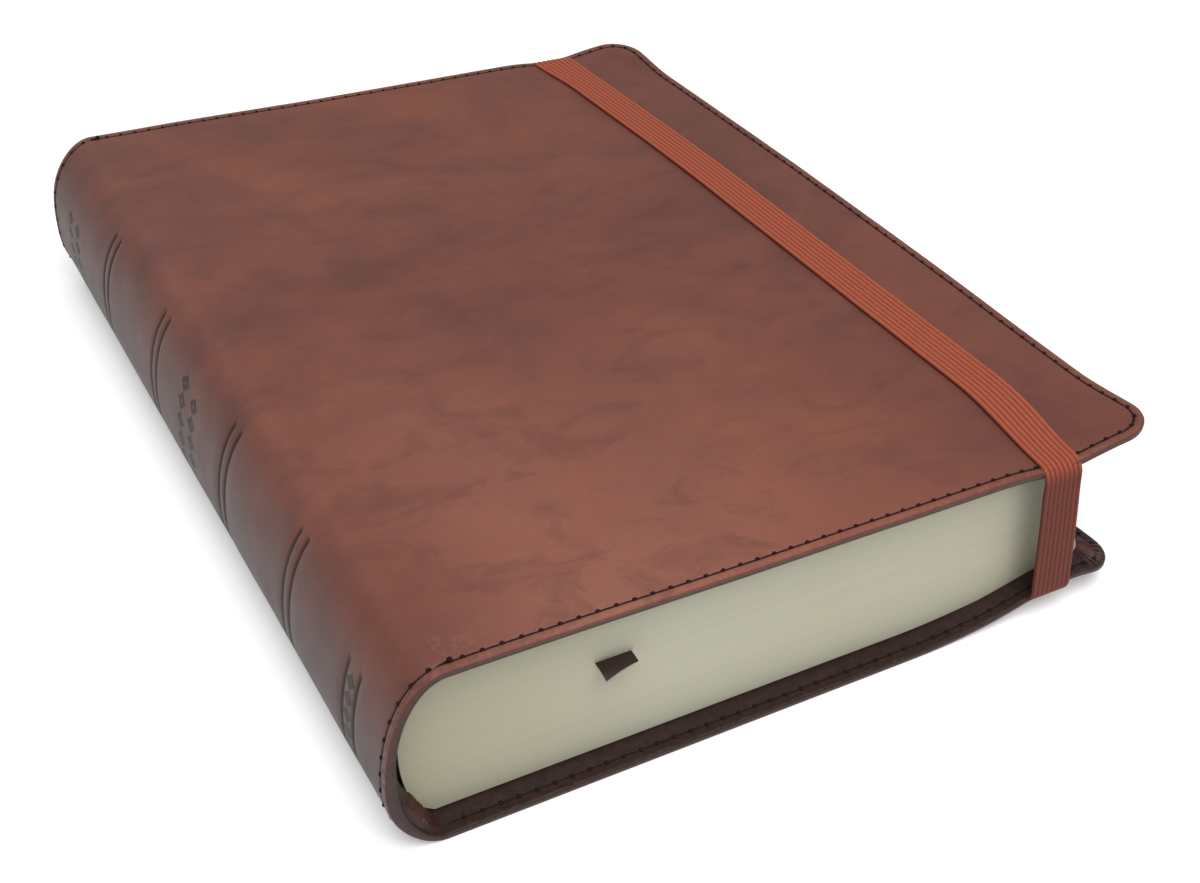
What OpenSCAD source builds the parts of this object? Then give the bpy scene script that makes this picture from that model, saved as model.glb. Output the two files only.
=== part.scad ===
// Limp-bound bible with a page marker and an elastic closing band.
// It lies closed on its back cover: +X runs from the spine to the fore-edge,
// +Y from the tail to the head, and +Z up through the pages to the front cover.

/* [Cover] */
// Width of the closed book, from the outside of the spine to the fore-edge
cover_w = 186; // [150:1:220]
// Height of the covers, from tail to head
cover_h = 240; // [200:1:280]
// Thickness of the closed book
book_t = 44; // [40:1:50]
// Thickness of one leather skin
leather_t = 1.2; // [0.8:0.1:1.4]
// Thickness of the flexible board inside a cover
board_t = 0.6; // [0.4:0.1:1.2]
// Thickness of the lining and the turned-in leather
lining_t = 0.5; // [0.4:0.1:0.9]
// Radius of the two fore-edge corners of a cover
corner_r = 10; // [6:0.5:14]
// Depth of the round of the spine
spine_a = 12; // [10:0.5:16]

/* [Pages] */
// How far the covers stand out past the pages at head, tail and fore-edge
overhang = 6; // [4:0.5:8]
// Sewn sections in each half of the text block
half_sections = 8; // [4:1:10]
// Radius of the rounded page corners
page_r = 8; // [4:0.5:12]
// How far the fore-edge of the pages is hollowed
hollow = 4; // [0:0.5:6]
// Single leaves that turn over between the two halves
loose_leaves = 3; // [1:1:3]

/* [Band and marker] */
// Width of the elastic band
band_w = 12; // [8:0.5:14]
// Thickness of the elastic band
band_t = 1.0; // [0.8:0.1:1.1]
// Distance of the band's middle from the outside of the spine
band_x = 160; // [120:1:165]
// Width of the ribbon marker
ribbon_w = 9; // [6:0.5:12]
// Distance of the ribbon's left edge from the outside of the spine, at the tail
ribbon_x = 45.5; // [30:0.5:120]
// Length of ribbon that stands out of the pages
ribbon_out = 4.5; // [3:0.5:5.5]

/* [Spine] */
// Heights of the tooled pairs of lines above the tail edge
line_y = [50.4, 91, 142.4, 184.6]; // [20:0.1:220]
// Distance between the two lines of a pair
line_gap = 3.8; // [2:0.1:5]
// Width of one tooled line
line_w = 0.9; // [0.5:0.1:1.5]

/* [Hidden] */

$fn = 64;
leather = "saddlebrown";
lining = "maroon";
paper = "ivory";
thread = "black";
elastic = "sienna";
ribbon = "darkred";

eps = 0.01;
mid_z = book_t / 2;
cover_t = leather_t + board_t + lining_t;
joint_x = spine_a + 6;                       // where the stiff covers begin
stitch_in = 2.3;                             // stitch line to cover edge
stitch_w = 0.6;
stitch_depth = 0.5;
turn_in_w = 12;
film = 0.05;                                 // air between layers that only lie together

// Text block: an upright slab with an elliptic back and a hollow fore-edge.
leaf_t = 0.2;
block_in_x = 4.2;                            // outside of the spine to the back of the pages
block_a = spine_a - block_in_x;
block_b = mid_z - cover_t - leaf_t - 2 * film;
fore_x = cover_w - overhang;
block_h = cover_h - 2 * overhang;
half_gap = 0.7;                              // half the space that the loose leaves lie in
half_t = block_b - half_gap;
section_t = half_t / half_sections;
ribbon_t = 0.3;
ribbon_gap = 0.4;
ribbon_hinge_gap = 0.2;
ribbon_above = 2;                            // sections of the front half below the ribbon
ribbon_z = mid_z + half_gap + ribbon_above * section_t;

// Layers of the spine, measured inwards from its outside.
liner_at = [1.25, 2.0];
turn_in_at = [2.05, 2.5];
paper_at = [2.55, 2.85];
mull_at = [2.9, 3.2];
sewing_at = [3.25, 3.6];
sewing_y = [-90, -54, -18, 18, 54, 90];      // sewing stations

slot_l = 13;                                 // band run under the back cover
anchor_l = 20;
anchor_top = leather_t + board_t - 2 * film; // glued ends are pressed into the board
air = 0.2;

// --- Shapes --------------------------------------------------------------

// Moves a shape from spine coordinates to the frame, whose origin is under the middle.
module placed() { translate([-cover_w / 2, 0, 0]) children(); }

// Extrudes an X-Z outline along Y, about the middle.
module along_y(len) { rotate([90, 0, 0]) linear_extrude(height = len, center = true) children(); }

// Points of the spine's round at a depth, from angle a0 to a1 (-90 is the bottom).
function round_pts(depth, a0, a1, n = 36) =
    [for (i = [0 : n]) let (t = a0 + (a1 - a0) * i / n)
        [spine_a - (spine_a - depth) * cos(t), mid_z + (mid_z - depth) * sin(t)]];

// One curved layer of the spine between two depths, over plus and minus a half angle.
module spine_layer(at, half_angle, len, run = 0) {
    top = run > 0 ? [[spine_a + run, book_t - at[0]], [spine_a + run, book_t - at[1]]] : [];
    foot = run > 0 ? [[spine_a + run, at[1]], [spine_a + run, at[0]]] : [];
    along_y(len) polygon(concat(round_pts(at[0], -half_angle, half_angle), top,
                                round_pts(at[1], half_angle, -half_angle), foot));
}

// Plan outline with two round fore-edge corners, open to the spine at x0.
module plan(x0, x1, h, r) {
    translate([x0, -h / 2]) square([x1 - r - x0, h]);
    translate([x0, -h / 2 + r]) square([x1 - x0, h - 2 * r]);
    for (s = [-1, 1]) translate([x1 - r, s * (h / 2 - r)]) circle(r);
}

// Plan of a cover, drawn in by a margin on its three free sides.
module cover_plan(inset) {
    plan(joint_x, cover_w - inset, cover_h - 2 * inset, max(corner_r - inset, 1));
}

// Plate of a cover outline between two heights.
module cover_plate(inset, z0, z1) {
    translate([0, 0, z0]) linear_extrude(height = z1 - z0) cover_plan(inset);
}

// Flat ring round the three free sides of a cover, between two insets.
module cover_ring(inset, width, z0, z1) {
    translate([0, 0, z0]) linear_extrude(height = z1 - z0) difference() {
        cover_plan(inset);
        cover_plan(inset + width);
    }
}

// The parts of a lower cover are drawn; the front cover mirrors them to the top.
module upside() { translate([0, 0, book_t]) mirror([0, 0, 1]) children(); }

module leather_shell() {
    difference() {
        union() {
            cover_plate(0, 0, leather_t);
            cover_ring(0, leather_t, 0, cover_t);
        }
        cover_ring(stitch_in, stitch_w, -eps, stitch_depth);
    }
}
module board_plate() { cover_plate(leather_t + film, leather_t, leather_t + board_t); }
module turn_in_frame() {
    cover_ring(leather_t + film, turn_in_w, leather_t + board_t, cover_t);
}
module pastedown_sheet() {
    cover_plate(leather_t + turn_in_w + 2 * film, leather_t + board_t, cover_t);
}
module stitch_line() { cover_ring(stitch_in + film, stitch_w - 2 * film, film, stitch_depth - film); }

// Strip of band or pocket at one end of the book; side is -1 at the tail, 1 at the head.
module end_box(w, y_out, len, z0, z1, side) {
    y0 = side > 0 ? y_out - len : -y_out;
    translate([band_x - w / 2, y0, z0]) cube([w, len, z1 - z0]);
}

// --- Text block ----------------------------------------------------------

function rise(z) = (z - mid_z) / block_b;
function back_edge(z) = spine_a - block_a * sqrt(max(0, 1 - rise(z) * rise(z)));
function fore_edge(z) = fore_x - hollow * (1 - rise(z) * rise(z));

// A stack of leaves between two heights, cut to the block's curved back and fore-edge.
module leaves(z0, z1, steps = 4) {
    zs = [for (i = [0 : steps]) z0 + (z1 - z0) * i / steps];
    intersection() {
        along_y(block_h) polygon(concat([for (z = zs) [back_edge(z), z]],
            [for (i = [steps : -1 : 0]) [fore_edge(zs[i]), zs[i]]]));
        translate([0, 0, z0 - 1]) linear_extrude(height = z1 - z0 + 2)
            plan(0, fore_edge((z0 + z1) / 2) + 0.3, block_h, page_r);
    }
}

// Section k counts from the back cover; the ribbon lies in a gap above one of them.
module page_section(k) {
    in_front = k > half_sections;
    n = in_front ? k - half_sections : k;
    base = in_front ? mid_z + half_gap : mid_z - block_b;
    low = in_front && n == ribbon_above + 1 ? ribbon_gap / 2 : 0;
    high = in_front && n == ribbon_above ? ribbon_gap / 2 : 0;
    color(paper) placed() leaves(base + (n - 1) * section_t + low, base + n * section_t - high);
}

module loose_leaf(k) {
    z = mid_z + (k - (loose_leaves + 1) / 2) * 0.45;
    color(paper) placed() translate([0, 0, z - leaf_t / 2]) linear_extrude(height = leaf_t)
        plan(block_in_x + 3, fore_x - hollow, block_h, page_r);
}

module flyleaf_sheet() {
    translate([0, 0, cover_t + film]) linear_extrude(height = leaf_t)
        plan(joint_x + 4, fore_x, block_h, page_r);
}

// --- Back cover ----------------------------------------------------------

module back_leather() {
    color(leather) placed() difference() {
        leather_shell();
        for (s = [-1, 1])
            end_box(band_w + 1, cover_h / 2 + eps, slot_l + 1.5, -eps, leather_t + eps, s);
    }
}
module back_board() {
    color("tan") placed() difference() {
        board_plate();
        for (s = [-1, 1])
            end_box(band_w + 1, cover_h / 2 - slot_l, anchor_l + 1, leather_t - eps, cover_t, s);
    }
}
module back_turn_in() { color(lining) placed() turn_in_frame(); }
module back_pastedown() { color(lining) placed() pastedown_sheet(); }
module back_stitching() {
    color(thread) placed() difference() {
        stitch_line();
        for (s = [-1, 1]) end_box(band_w + 1.2, cover_h / 2 + 1, slot_l, -1, 1, s);
    }
}
module back_flyleaf() { color(paper) placed() flyleaf_sheet(); }

// Glued end of the band: it rises through the slot and lies in the board's pocket.
module band_anchor(side) {
    color(elastic) placed() {
        end_box(band_w, cover_h / 2 - slot_l - film, band_t, film, anchor_top, side);
        end_box(band_w, cover_h / 2 - slot_l - film, anchor_l, leather_t, anchor_top, side);
    }
}

// --- Spine ---------------------------------------------------------------

module spine_leather() {
    color(leather) placed() difference() {
        spine_layer([0, leather_t], 90, cover_h, joint_x - spine_a);
        for (s = [-1, 1]) translate([0, s * (cover_h / 2 - stitch_in - stitch_w / 2), 0])
            spine_layer([-1, stitch_depth], 90, stitch_w, joint_x - spine_a);
        for (y = line_y, d = [0, line_gap]) translate([0, y + d - cover_h / 2, 0])
            spine_layer([-1, 0.35], 54, line_w);
    }
}
module spine_stitching() {
    color(thread) placed()
        for (s = [-1, 1]) translate([0, s * (cover_h / 2 - stitch_in - stitch_w / 2), 0])
            spine_layer([film, stitch_depth - film], 90, stitch_w - 2 * film, joint_x - spine_a);
}
module spine_liner() { color("tan") placed() spine_layer(liner_at, 70, cover_h - 4); }
module spine_turn_ins() {
    color(lining) placed()
        for (s = [-1, 1]) translate([0, s * (cover_h / 2 - 7), 0]) spine_layer(turn_in_at, 68, 12);
}
module spine_paper() { color("peru") placed() spine_layer(paper_at, 62, block_h - 4); }
module mull_cloth() { color("white") placed() spine_layer(mull_at, 56, block_h - 20); }
module sewing_thread() {
    color("white") placed()
        for (y = sewing_y) translate([0, y, 0]) spine_layer(sewing_at, 48, 4);
}

// --- Ribbon marker -------------------------------------------------------

// Runs from the head of the spine between two sections to the tail edge.
module ribbon_marker() {
    tail_y = -block_h / 2;
    head_y = block_h / 2 - 2;
    color(ribbon) placed() translate([0, 0, ribbon_z - ribbon_t / 2])
        linear_extrude(height = ribbon_t)
            polygon([[ribbon_x, tail_y], [ribbon_x + ribbon_w, tail_y],
                     [spine_a + ribbon_w, head_y], [spine_a, head_y]]);
}
module ribbon_tail() {
    y = -block_h / 2 - ribbon_hinge_gap;
    color(ribbon) placed() translate([0, 0, ribbon_z - ribbon_t / 2])
        linear_extrude(height = ribbon_t)
            polygon([[ribbon_x, y], [ribbon_x, y - ribbon_out],
                     [ribbon_x + ribbon_w, y - ribbon_out * 0.6], [ribbon_x + ribbon_w, y]]);
}

// --- Front cover ---------------------------------------------------------

module front_leather() { color(leather) placed() upside() leather_shell(); }
module front_board() { color("tan") placed() upside() board_plate(); }
module front_turn_in() { color(lining) placed() upside() turn_in_frame(); }
module front_pastedown() { color(lining) placed() upside() pastedown_sheet(); }
module front_stitching() { color(thread) placed() upside() stitch_line(); }
module front_flyleaf() { color(paper) placed() upside() flyleaf_sheet(); }

// --- Elastic band --------------------------------------------------------

// A strap round the whole book: over the front, down both ends and under to the slots.
module elastic_band() {
    outer = cover_h / 2 + air + band_t;
    top = book_t + air;
    color(elastic) placed() {
        translate([band_x - band_w / 2, -outer, top]) cube([band_w, 2 * outer, band_t]);
        for (s = [-1, 1]) {
            end_box(band_w, outer, band_t, 0, top + eps, s);
            end_box(band_w, outer, slot_l + air + band_t - 0.1, 0, band_t, s);
        }
    }
}

// --- Nodes ---------------------------------------------------------------

back_leather();
back_board();
back_turn_in();
back_pastedown();
back_stitching();
back_flyleaf();
band_anchor(-1);  // band_anchor_tail
band_anchor(1);  // band_anchor_head
spine_leather();
spine_stitching();
spine_liner();
spine_turn_ins();
spine_paper();
mull_cloth();
sewing_thread();
for (k = [1 : 2 * half_sections])
    page_section(k);
for (k = [1 : loose_leaves])
    loose_leaf(k);
ribbon_marker();
ribbon_tail();
front_flyleaf();
front_leather();
front_board();
front_turn_in();
front_pastedown();
front_stitching();
elastic_band();
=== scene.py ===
"""Limp-bound bible lying closed on its back cover, with an elastic band and a ribbon marker.

Lengths are in millimetres until a mesh is made. x runs from spine to fore-edge, y from
tail to head and z up, from the same origin as the frame.
"""
import math

import bmesh
import bpy
from mathutils import Matrix, Vector, noise


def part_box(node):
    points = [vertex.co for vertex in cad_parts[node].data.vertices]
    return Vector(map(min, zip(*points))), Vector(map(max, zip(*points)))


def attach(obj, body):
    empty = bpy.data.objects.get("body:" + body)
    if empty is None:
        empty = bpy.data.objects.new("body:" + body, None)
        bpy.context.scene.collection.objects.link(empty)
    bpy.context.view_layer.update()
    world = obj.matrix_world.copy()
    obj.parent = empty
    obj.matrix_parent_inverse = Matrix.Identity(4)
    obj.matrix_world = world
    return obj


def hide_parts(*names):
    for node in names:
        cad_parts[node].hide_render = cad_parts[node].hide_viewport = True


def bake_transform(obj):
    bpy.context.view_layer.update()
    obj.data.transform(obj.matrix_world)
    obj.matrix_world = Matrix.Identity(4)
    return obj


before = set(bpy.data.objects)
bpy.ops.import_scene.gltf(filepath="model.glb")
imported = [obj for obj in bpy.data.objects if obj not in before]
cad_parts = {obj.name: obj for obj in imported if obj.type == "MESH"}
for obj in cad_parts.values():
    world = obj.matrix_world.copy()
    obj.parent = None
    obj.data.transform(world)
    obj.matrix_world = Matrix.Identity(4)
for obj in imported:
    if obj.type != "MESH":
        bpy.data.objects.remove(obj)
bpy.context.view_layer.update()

MM = 0.001                                   # metres in a millimetre


def side(node, axis, end):
    """One side of a CAD node's box in millimetres: axis 0 to 2, end 0 low or 1 high."""
    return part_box(node)[end][axis] / MM


# --- Sizes -----------------------------------------------------------------

SPINE_X = side("spine_leather", 0, 0)
FORE_X = side("front_leather", 0, 1)
HALF_H = side("front_leather", 1, 1)
TOP = side("front_leather", 2, 1)
COVER = side("back_leather", 2, 1)           # thickness of a cover
MID = TOP / 2
ROUND = 12.0                                 # depth of the spine's round
ROUND_X = SPINE_X + ROUND
STIFF_X = side("front_leather", 0, 0)        # where the covers leave the joint
SKIN = 1.2                                   # the outer leather of a cover
LINING_T = 0.5
GLUE = 0.03                                  # gap between two glued layers
CORNER = 10.0
EDGE_T = 1.55                                # the covers are pared thin at their edges
STITCH_IN = 2.4                              # stitch line, in from a cover's edge
STITCH_PITCH = 3.95
TURN_IN = 13.0                               # width of the leather folded in round an edge
CARD_IN = 7.0                                # how far the card stays in from an edge
BACKING = 4.2                                # from the outside of the spine to the pages

BLOCK_H = side("page_section_1", 1, 1)
BLOCK_A = ROUND - BACKING
BLOCK_LOW = side("page_section_1", 2, 0)
BLOCK_B = MID - BLOCK_LOW
FORE_PAGES = FORE_X - 6.0
HOLLOW = 4.0
PAGE_CORNER = 8.0

BAND_X = (side("elastic_band", 0, 0) + side("elastic_band", 0, 1)) / 2
BAND_W = side("elastic_band", 0, 1) - side("elastic_band", 0, 0)
BAND_END = 107.0                             # where the band dives into its slots
BAND_T = 1.0
BAND_NARROW = 0.93                           # share of its width that the band keeps when stretched

TOOLED = [50.4, 91.0, 142.4, 184.6]          # pairs of lines, above the tail edge
PAIR_GAP = 3.8
PANEL = [15.8, 21.4]                         # single lines round the tail ornament
# Rows of lozenges: height, half a lozenge's height, first and last angle, and how many
ORNAMENTS = [(18.6, 2.1, -26, 28, 5), (115.0, 2.7, -30, 36, 5), (122.4, 2.7, -26, 42, 5),
             (214.0, 2.5, -26, 26, 4), (220.8, 2.5, -20, 28, 4)]


# --- Camera ----------------------------------------------------------------

VIEW_ANGLES = (-30.56, 35.58, 2.89)          # azimuth, elevation and roll
VIEW_FROM = (-166.4, -313.5, 246.0)
LENS = 48.9


def make_camera():
    azimuth, elevation, roll = (math.radians(a) for a in VIEW_ANGLES)
    look = Vector((-math.sin(azimuth) * math.cos(elevation),
                   math.cos(azimuth) * math.cos(elevation), -math.sin(elevation)))
    right = look.cross(Vector((0, 0, 1))).normalized()
    up = right.cross(look)
    across = right * math.cos(roll) + up * math.sin(roll)
    upward = up * math.cos(roll) - right * math.sin(roll)
    data = bpy.data.cameras.new("camera")
    data.sensor_width = 36
    data.lens = LENS
    data.clip_start = 0.01
    camera = bpy.data.objects.new("camera", data)
    bpy.context.scene.collection.objects.link(camera)
    turn = Matrix((across, upward, -look)).transposed().to_4x4()
    camera.matrix_world = Matrix.Translation(Vector(VIEW_FROM) * MM) @ turn
    bpy.context.scene.camera = camera


make_camera()


# --- Shader helpers ----------------------------------------------------------

class Value:
    """A shader socket that can be used in arithmetic."""

    def __init__(self, make, socket):
        self.make, self.socket = make, socket

    def maths(self, operation, *terms, clamp=False):
        settings = {"operation": operation, "use_clamp": clamp}
        return self.make.node("ShaderNodeMath", settings, *terms)

    def __add__(self, other):
        return self.maths("ADD", self, other)

    def __sub__(self, other):
        return self.maths("SUBTRACT", self, other)

    def __rsub__(self, other):
        return self.maths("SUBTRACT", other, self)

    def __mul__(self, other):
        return self.maths("MULTIPLY", self, other)

    __radd__, __rmul__ = __add__, __mul__

    def __truediv__(self, other):
        return self.maths("DIVIDE", self, other)

    def sine(self):
        return self.maths("SINE", self)

    def size(self):
        return self.maths("ABSOLUTE", self)

    def held(self):
        """Kept between 0 and 1."""
        return self.maths("ADD", self, 0.0, clamp=True)

    def above(self, low, high):
        """0 below low and 1 above high."""
        return self.maths("DIVIDE", self - low, high - low, clamp=True)


class Finish:
    """A material whose nodes are added one call at a time."""

    def __init__(self, name):
        self.material = bpy.data.materials.new(name)
        self.material.use_nodes = True
        self.nodes = self.material.node_tree.nodes
        self.links = self.material.node_tree.links
        self.shader = self.nodes["Principled BSDF"]

    def plug(self, socket, value):
        """Links a Value to a socket, or sets the socket to a plain number or colour."""
        if isinstance(value, Value):
            self.links.new(value.socket, socket)
        elif value is not None:
            socket.default_value = value

    def node(self, kind, settings, *terms, out=0, **named):
        made = self.nodes.new(kind)
        for name, value in settings.items():
            setattr(made, name, value)
        for socket, value in zip(made.inputs, terms):
            self.plug(socket, value)
        for name, value in named.items():
            self.plug(made.inputs[name.replace("_", " ")], value)
        return Value(self, made.outputs[out])

    def where(self):
        """Place on the object, in metres from the frame's origin."""
        return self.node("ShaderNodeTexCoord", {}, out="Object")

    def uv(self):
        return self.node("ShaderNodeUVMap", {"uv_map": "strip"})

    def attribute(self, name):
        return self.node("ShaderNodeAttribute", {"attribute_name": name}, out="Fac")

    def parts(self, vector):
        split = self.nodes.new("ShaderNodeSeparateXYZ")
        self.links.new(vector.socket, split.inputs[0])
        return [Value(self, socket) for socket in split.outputs]

    def scaled(self, vector, x, y, z):
        return self.node("ShaderNodeMapping", {}, vector, Scale=(x, y, z))

    def number(self, value):
        made = self.node("ShaderNodeValue", {})
        made.socket.default_value = value
        return made

    def noise(self, vector, scale, detail=3.0, rough=0.55, twist=0.0):
        return self.node("ShaderNodeTexNoise", {}, Vector=vector, Scale=scale, Detail=detail,
                         Roughness=rough, Distortion=twist)

    def cells(self, vector, scale):
        return self.node("ShaderNodeTexVoronoi", {}, Vector=vector, Scale=scale)

    def mixed(self, share, first, second):
        """The first colour, with a share of the second; inputs 6 and 7 are its colours."""
        made = self.nodes.new("ShaderNodeMix")
        made.data_type = "RGBA"
        self.plug(made.inputs["Factor"], share)
        self.plug(made.inputs[6], first)
        self.plug(made.inputs[7], second)
        return Value(self, made.outputs[2])

    def bump(self, height, distance, strength=1.0, under=None):
        """A relief of a height in millimetres, over another one."""
        return self.node("ShaderNodeBump", {}, Height=height, Distance=distance * MM,
                         Strength=strength, Normal=under)

    def surface(self, colour, rough, normal, **fixed):
        self.plug(self.shader.inputs["Base Color"], colour)
        self.plug(self.shader.inputs["Roughness"], rough)
        self.plug(self.shader.inputs["Normal"], normal)
        for name, value in fixed.items():
            self.shader.inputs[name.replace("_", " ")].default_value = value
        return self.material


def tint(red, green, blue):
    """A colour given as the eye sees it, from 0 to 255."""
    return tuple((c / 255 / 12.92 if c < 10.3 else ((c / 255 + 0.055) / 1.055) ** 2.4)
                 for c in (red, green, blue)) + (1.0,)


# --- Materials ---------------------------------------------------------------

def lozenges(m, at):
    """Rows of small lozenges across the spine: 1 inside a mark, and 0 outside."""
    turn = m.attribute("turn")
    height = m.parts(at)[1] / MM + HALF_H
    marks = m.number(0.0)
    for y, half, first, last, count in ORNAMENTS:
        place = (turn - first) / ((last - first) / count)
        across = (place - place.maths("FLOOR", place) - 0.5).size() * 2
        reach = across + (height - y).size() / half
        within = place.above(0, 0.02) * (1 - place.above(count - 0.02, count))
        ring = reach.above(0.16, 0.30) * (1 - reach.above(0.88, 0.99))
        marks = marks.maths("MAXIMUM", marks, ring * within)
    return marks * m.attribute("spine")


def cover_leather():
    """Mottled red-brown imitation leather with a fine pebble grain; dark on the inside, with painted
    light and shade.
    """
    m = Finish("cover_leather")
    at = m.where()
    drift = m.noise(m.scaled(at, 0.8, 1.25, 1), 24, 7, 0.66, 0.5)
    cloud = m.noise(m.scaled(at, 0.8, 1.2, 1), 62, 7, 0.68, 0.8)
    smoke = m.noise(at, 12, 5, 0.62, 0.8)
    base = m.mixed(drift.above(0.36, 0.66), tint(98, 55, 47), tint(119, 68, 53))
    x, y, _ = m.parts(at)
    # Painted light: a lighter patch on the tail half of the cover, from the spine's shoulder inwards.
    painted_light_patch = (1 - y.above(-0.12, 0.0)) * (1 - x.above(-0.04, 0.06)) * x.above(-0.086, -0.056)
    base = m.mixed(painted_light_patch * 0.62, base, tint(154, 98, 80))
    base = m.mixed(cloud.above(0.50, 0.66) * 0.46, base, tint(86, 50, 46))
    base = m.mixed(smoke.above(0.52, 0.68) * 0.40, base, tint(134, 74, 52))
    base = m.mixed(cloud.above(0.46, 0.34) * 0.22, base, tint(130, 66, 45))
    # Painted shade: darker towards the fore-edge.
    base = m.mixed(x.above(0.0, 0.09) * 0.2, base, tint(84, 50, 46))
    # Painted shade: the lower side of the spine's round is darker.
    painted_spine_shade = m.attribute("spine") * (1 - m.attribute("turn").above(-20, 80))
    base = m.mixed(painted_spine_shade * 0.95, base, tint(40, 26, 26))
    pores = m.cells(at, 2300)
    base = m.mixed(pores.above(0.25, 0.6) * 0.10, base, tint(70, 34, 28))
    pressed = lozenges(m, at)
    # Tooled lines and pressed lozenges, with painted shade in the stitch grooves and in the valleys of
    # the corner gathers.
    tooling_and_shade = m.attribute("tooling_and_shade").maths("MAXIMUM", m.attribute("tooling_and_shade"), pressed * 0.9)
    base = m.mixed(tooling_and_shade * 0.96, base, tint(20, 10, 10))
    fibres = m.noise(at, 700, 4, 0.7).above(0.35, 0.65)
    within = m.mixed(fibres, tint(27, 14, 13), tint(50, 27, 23))
    # The inside mark: the dark inner side, with painted shade under the folded edges and along the back
    # cover's edge, and a painted highlight on the ridges of the corner gathers.
    base = m.mixed(m.attribute("inside"), base, within)
    # Lighter where the edges are worn, and painted highlights: glints of the grain by the spine's
    # shoulder, a line along the inner rim and the ridges of the corner gathers.
    wear_and_highlight = m.attribute("wear_and_highlight") * m.noise(at, 900, 3, 0.7).above(0.42, 0.66)
    base = m.mixed(wear_and_highlight * 0.24, base, tint(168, 112, 94))
    grain = pores + m.noise(at, 5200, 2) * 0.5
    creases = m.noise(m.scaled(at, 1, 0.35, 1), 260, 4, 0.6)
    normal = m.bump(creases, 0.10, 0.35, m.bump(grain, 0.035, 0.55))
    normal = m.bump(1 - pressed, 0.25, 0.8, normal)
    rough = 0.42 + m.noise(at, 90, 3) * 0.16 + tooling_and_shade * 0.1
    return m.surface(base, rough - wear_and_highlight * 0.1, normal, Specular_IOR_Level=0.32)


def turned_leather():
    """Dark smooth lining and turned-in leather on the insides of the covers."""
    m = Finish("lining_leather")
    at = m.where()
    cloud = m.noise(at, 60, 4)
    base = m.mixed(cloud.above(0.35, 0.7), tint(52, 28, 25), tint(72, 38, 32))
    grain = m.cells(at, 1900) + m.noise(at, 4000, 2) * 0.4
    return m.surface(base, 0.46 + cloud * 0.15, m.bump(grain, 0.04, 0.5), Specular_IOR_Level=0.4)


def trimmed_paper():
    """Cream leaves: fine lines of page edges on the sides, smooth paper on the faces."""
    m = Finish("page_paper")
    at = m.where()
    lines = m.noise(m.scaled(at, 14, 14, 9000), 1.0, 4, 0.7)
    gathers = m.noise(m.scaled(at, 5, 5, 420), 1.0, 2)
    stain = m.noise(at, 20, 3)
    base = m.mixed(lines.above(0.3, 0.7), tint(170, 168, 149), tint(181, 179, 160))
    base = m.mixed(gathers.above(0.4, 0.7) * 0.12, base, tint(164, 161, 140))
    base = m.mixed(stain.above(0.45, 0.7) * 0.20, base, tint(168, 160, 136))
    x = m.parts(at)[0]
    # Painted shade: darker towards the spine.
    base = m.mixed((1 - x.above(-0.085, -0.03)) * 0.5, base, tint(140, 134, 110))
    normal = m.bump(lines, 0.02, 0.35, m.bump(gathers, 0.05, 0.25))
    return m.surface(base, 0.78, normal, Specular_IOR_Level=0.25)


def leaf_paper():
    """Face of a thin uncoated leaf."""
    m = Finish("leaf_paper")
    at = m.where()
    fibre = m.noise(at, 900, 4, 0.7)
    base = m.mixed(fibre.above(0.3, 0.7), tint(222, 217, 198), tint(232, 228, 211))
    return m.surface(base, 0.82, m.bump(fibre, 0.02, 0.4), Specular_IOR_Level=0.2)


def stitch_thread():
    """Dark thread with a fine twist."""
    m = Finish("stitch_thread")
    x, y, z = m.parts(m.where())
    ply = ((x + y + z) * 14000).sine()
    base = m.mixed(ply.above(-1, 1), tint(16, 8, 8), tint(42, 21, 18))
    return m.surface(base, 0.7, m.bump(ply, 0.03, 0.5), Specular_IOR_Level=0.15)


def woven_elastic():
    """Rust-brown elastic: cords along it, bound by fine cross picks."""
    m = Finish("band_elastic")
    across, along, _ = m.parts(m.uv())
    cord = (across * (2 * math.pi * BAND_RIBS)).sine()
    pick = (along * (2 * math.pi / 0.55) + cord * 1.4).sine()
    fuzz = m.noise(m.where(), 2600, 3, 0.7)
    valley_shade = m.attribute("valley_shade")
    base = m.mixed(fuzz.above(0.3, 0.7), tint(150, 68, 46), tint(180, 92, 64))
    base = m.mixed(pick.above(-0.2, 1.0) * 0.30, base, tint(120, 48, 36))
    # Painted shade: darker where the band runs down the tail and head edges.
    base = m.mixed(m.attribute("painted_leg_shade") * 0.85, base, tint(76, 29, 23))
    # Painted shade in the valleys between the cords.
    base = m.mixed(valley_shade * 0.85, base, tint(66, 22, 18))
    normal = m.bump(pick, 0.06, 0.6, m.bump(fuzz, 0.04, 0.6))
    return m.surface(base, 0.72, normal, Specular_IOR_Level=0.25, Sheen_Weight=0.2,
                     Sheen_Roughness=0.5, Sheen_Tint=tint(220, 140, 110))


def satin_ribbon():
    """Dark brown ribbon with a fine even weave."""
    m = Finish("ribbon_satin")
    x, y, _ = m.parts(m.where())
    weft = (y * (2 * math.pi / 0.00035)).sine()
    warp = (x * (2 * math.pi / 0.0003)).sine()
    base = m.mixed(weft.above(-0.5, 1) * 0.6, tint(34, 19, 16), tint(66, 32, 27))
    return m.surface(base, 0.38, m.bump(weft + warp, 0.02, 0.5), Specular_IOR_Level=0.5)


def fibre_board(name, dark, light, scale):
    """Card, backing paper and cloth that are glued inside the binding."""
    m = Finish(name)
    at = m.where()
    fibre = m.noise(m.scaled(at, 1, 0.3, 1), scale, 4, 0.7)
    base = m.mixed(fibre.above(0.3, 0.7), tint(*dark), tint(*light))
    return m.surface(base, 0.85, m.bump(fibre, 0.05, 0.5))


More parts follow.
